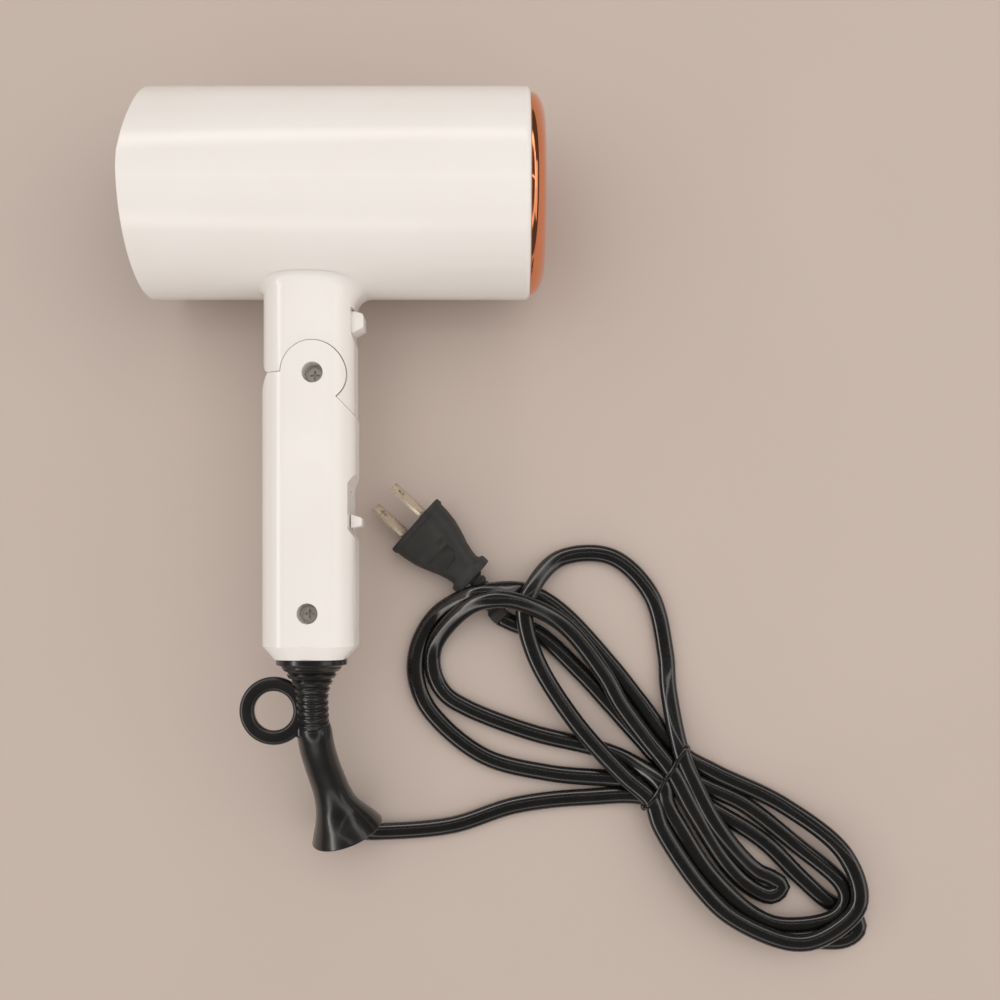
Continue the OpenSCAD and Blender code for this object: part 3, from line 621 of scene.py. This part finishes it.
# ---------------------------------------------------------------- boot
HANDLE_END = 183.8
# Drop below the barrel's axis, sideways place, sag and radius of the boot's tube and bell.
BOOT_LINE = np.array([
    [183.8, -13.7, 0, 5.6], [190, -13.7, -0.1, 5.6], [196, -13.7, -0.5, 5.6], [203, -13.7, -1.8, 5.7],
    [208.5, -13.7, -3.4, 5.9], [211.5, -13.6, -4.5, 7.1], [220, -12.9, -8.3, 7.1], [228, -11.3, -12.6, 7.1],
    [236, -9.2, -16.9, 7.3], [241, -7.9, -19.2, 7.8], [245, -6.9, -21.1, 8.8], [248, -6, -22.3, 10.1],
    [251, -4.95, -23.4, 12.0], [254, -3.9, -24.4, 14.1], [256.4, -3.1, -25.2, 15.3],
    [260, -1.9, -26.4, 17.1]])
BOOT_END, BELL_R, BELL_LIP = 256.4, 15.3, 0.55
FLANGE_R, FLANGE_LONG = 14.0, 2.4
RIB_RADII = [11.4, 9.5, 8, 7, 6.5, 6.4, 6.4, 6.4, 6.3]
RIB_FROM, RIB_STEP, RIB_LONG, RIB_DEPTH = 3.1, 2.7, 1.7, 0.9


def boot_line(drop, column):
    """A value of the boot's line at a drop, evened out over a few millimetres."""
    near = drop + np.linspace(-2.5, 2.5, 11)
    return float(np.mean(np.interp(near, BOOT_LINE[:, 0], BOOT_LINE[:, column])))


def boot_radius(drop):
    """Radius of the boot: the flange, the ribs on a core that narrows, then the plain tube and the bell."""
    from_end = drop - HANDLE_END
    if from_end < FLANGE_LONG:
        return FLANGE_R - 0.5 * float(smoothstep(FLANGE_LONG - 0.5, FLANGE_LONG, from_end))
    tube = boot_line(drop, 3)
    ribs_end = RIB_FROM + RIB_STEP * (len(RIB_RADII) - 1) + RIB_LONG
    if from_end > ribs_end + 0.3:
        return tube
    middles = [RIB_FROM + RIB_LONG / 2 + i * RIB_STEP for i in range(len(RIB_RADII))]
    crest = float(np.interp(from_end, [FLANGE_LONG, *middles, ribs_end + 0.3], [12.8, *RIB_RADII, 6.4]))
    if from_end < RIB_FROM:
        return crest - 0.4
    along_rib = (from_end - RIB_FROM) % RIB_STEP - RIB_LONG / 2
    return crest - RIB_DEPTH * float(smoothstep(RIB_LONG / 2 - 0.35, RIB_LONG / 2 + 0.3, abs(along_rib)))


def boot_frame(drop):
    """The boot's centre, direction, side and top at a drop."""
    centre = np.array([boot_line(drop, 1), AXIS_Y - drop, AXIS_Z + boot_line(drop, 2)])
    low, top = (np.array([boot_line(drop + d, 1), boot_line(drop + d, 2)]) for d in (-2, 2))
    slope = (top - low) / 4
    tangent = np.array([slope[0], -1.0, slope[1]])
    tangent /= np.linalg.norm(tangent)
    side = np.cross([0, 0, 1], tangent)
    side /= np.linalg.norm(side)
    return centre, tangent, side, np.cross(tangent, side)


def boot_ring_at(drop, radius, shift=0.0, sides=64):
    """A circle across the boot at a drop, moved along it by a shift."""
    centre, tangent, side, up = boot_frame(drop)
    turn = [TAU * k / sides for k in range(sides)]
    return [centre + tangent * shift + radius * (side * math.cos(a) + up * math.sin(a)) for a in turn]


def make_boot():
    """The boot as one skin: down the outside, round the bell's lip and up inside the bell."""
    drops = np.concatenate([[HANDLE_END + 0.05, HANDLE_END + 0.2], np.arange(HANDLE_END + 0.35, 212, 0.15),
                            np.arange(212, BOOT_END, 0.8), [BOOT_END]])
    rings = [boot_ring_at(drops[0], 8.9)]
    rings += [boot_ring_at(d, boot_radius(d)) for d in drops]
    for a in range(15, 181, 15):
        radius = BELL_R - BELL_LIP + BELL_LIP * math.cos(math.radians(a))
        rings.append(boot_ring_at(BOOT_END, radius, BELL_LIP * math.sin(math.radians(a))))
    inside = [(255, 13.3), (253, 12.0), (251, 10.7), (248, 8.7), (245, 7.3), (242, 5.6), (240, 4.6)]
    rings += [boot_ring_at(drop, radius) for drop, radius in inside]
    finished(loft("boot_moulding", rings), "handle", "boot_rubber", "boot")


def make_hang_ring():
    """The flat hanging ring with rounded edges, and the web that joins it to the boot."""
    centre = np.array([-29.07, AXIS_Y - 204.4, AXIS_Z - 2])
    outer, inner, half, edge = 13.6, 7.8, 2.25, 1.5
    section = arc((outer - edge, half - edge), edge, 90, 0, 5)
    section += arc((outer - edge, -half + edge), edge, 0, -90, 5)
    section += arc((inner + edge, -half + edge), edge, -90, -180, 5)
    section += arc((inner + edge, half - edge), edge, 180, 90, 5)
    rings = []
    for k in range(96):
        a = TAU * k / 96
        radial = np.array([math.cos(a), math.sin(a), 0])
        rings.append([centre + radial * r + np.array([0, 0, z]) for r, z in section])
    ring = loft("hanging_ring", rings, closed=True)
    web_rings = []
    for x, reach in [(9.0, 8.5), (11.0, 9.6), (13.0, 10.4), (15.5, 10.8)]:
        outline, _ = round_rect(2 * reach, 2 * half - 0.1, 1.6, 5)
        web_rings.append([centre + np.array([x, -2.0 + u, v]) for u, v in outline])
    web = loft("hanging_ring_web", web_rings)
    for piece in (ring, web):
        finished(piece, "handle", "boot_rubber")


make_boot()
make_hang_ring()

# ---------------------------------------------------------------- CAD nodes that keep their shape
SLOTS = {s["node"]: s["material_slot"] for s in frame["record"]["subparts"]}
for name, node in nodes.items():
    paint(node, SLOTS[name])

# ---------------------------------------------------------------- floor and light
floor_material = surface(
    "floor_paper", (0.515, 0.432, 0.384), (0.530, 0.446, 0.398), (0.55, 0.65), 500, 0.02, 6)
bpy.ops.mesh.primitive_plane_add(size=4)
floor = bpy.context.object
floor.name = "floor"
floor.data.materials.append(floor_material)


def area_light(name, place, size, power, colour, aim=None):
    data = bpy.data.lights.new(name, "AREA")
    data.shape = "RECTANGLE"
    data.size, data.size_y = size
    data.energy = power
    data.color = colour
    light = bpy.data.objects.new(name, data)
    light.location = place
    if aim is not None:
        light.rotation_euler = (Vector(aim) - Vector(place)).to_track_quat("-Z", "Y").to_euler()
    bpy.context.scene.collection.objects.link(light)
    return light


window = area_light("window", (0.45, 0.45, 1.5), (2.4, 1.6), 9.4, (1.0, 0.965, 0.92))
window.visible_glossy = False
fill = area_light("fill", (0.1, -1.9, 0.45), (2.4, 0.5), 6.5, (1.0, 0.97, 0.93), aim=(0.0, 0.1, 0.03))
fill.visible_glossy = False
area_light("strip", (0, 0.190, 1.4), (2.6, 0.05), 0.9, (1.0, 0.98, 0.96))
area_light("lamp", (1.25, 0.45, 0.95), (0.9, 0.10), 0.55, (1.0, 0.98, 0.95), aim=(0.07, 0.1, 0.05))
area_light("side_window", (-0.9, -0.15, 0.75), (1.2, 0.12), 1.0, (1.0, 0.97, 0.94), aim=(0.0, -0.15, 0.0))
area_light("panel", (1.7, 0.0, 0.8), (1.6, 0.7), 3.0, (1.0, 0.97, 0.94), aim=(0.07, 0.1, 0.05))



def facing_glow(tree, direction, low, high, start, stop):
    """A value that rises with how far the view turns towards a direction."""
    view = add(tree, "ShaderNodeTexCoord")
    towards = add(tree, "ShaderNodeVectorMath", operation="DOT_PRODUCT")
    towards.inputs[1].default_value = direction
    tree.links.new(view.outputs["Generated"], towards.inputs[0])
    return spread(tree, towards.outputs["Value"], low, high, start, stop)


def product(tree, first, second):
    node = add(tree, "ShaderNodeMath", operation="MULTIPLY")
    tree.links.new(first, node.inputs[0])
    tree.links.new(second, node.inputs[1])
    return node.outputs["Value"]


# The room: brighter overhead than at the sides.
UP, UPPER_LEFT = (0, 0, 1), (-0.9, 0.44, 0)
world = bpy.data.worlds.new("studio")
bpy.context.scene.world = world
world.use_nodes = True
room = world.node_tree
background = room.nodes["Background"]
background.inputs["Color"].default_value = (1.0, 0.955, 0.92, 1)
glow = facing_glow(room, (0.1, 0.12, 0.98), 0.55, 0.79, 0.0, 1.0)
# Reflections see a dim room with a bright band above its walls, strongest to the upper left: black pieces
# stay black, with thin streaks.
band = product(room, facing_glow(room, UP, 0.0, 1.0, 0.52, 0.62), facing_glow(room, UP, 1.0, 0.0, 0.68, 0.78))
band = product(room, band, facing_glow(room, UPPER_LEFT, 0.30, 1.0, -0.4, 0.5))
seen = spread(room, band, 0.09, 3.6, 0.0, 1.0)
ray = add(room, "ShaderNodeLightPath")
strength = add(room, "ShaderNodeMix", data_type="FLOAT")
room.links.new(ray.outputs["Is Glossy Ray"], strength.inputs["Factor"])
room.links.new(glow, strength.inputs["A"])
room.links.new(seen, strength.inputs["B"])
room.links.new(strength.outputs["Result"], background.inputs["Strength"])
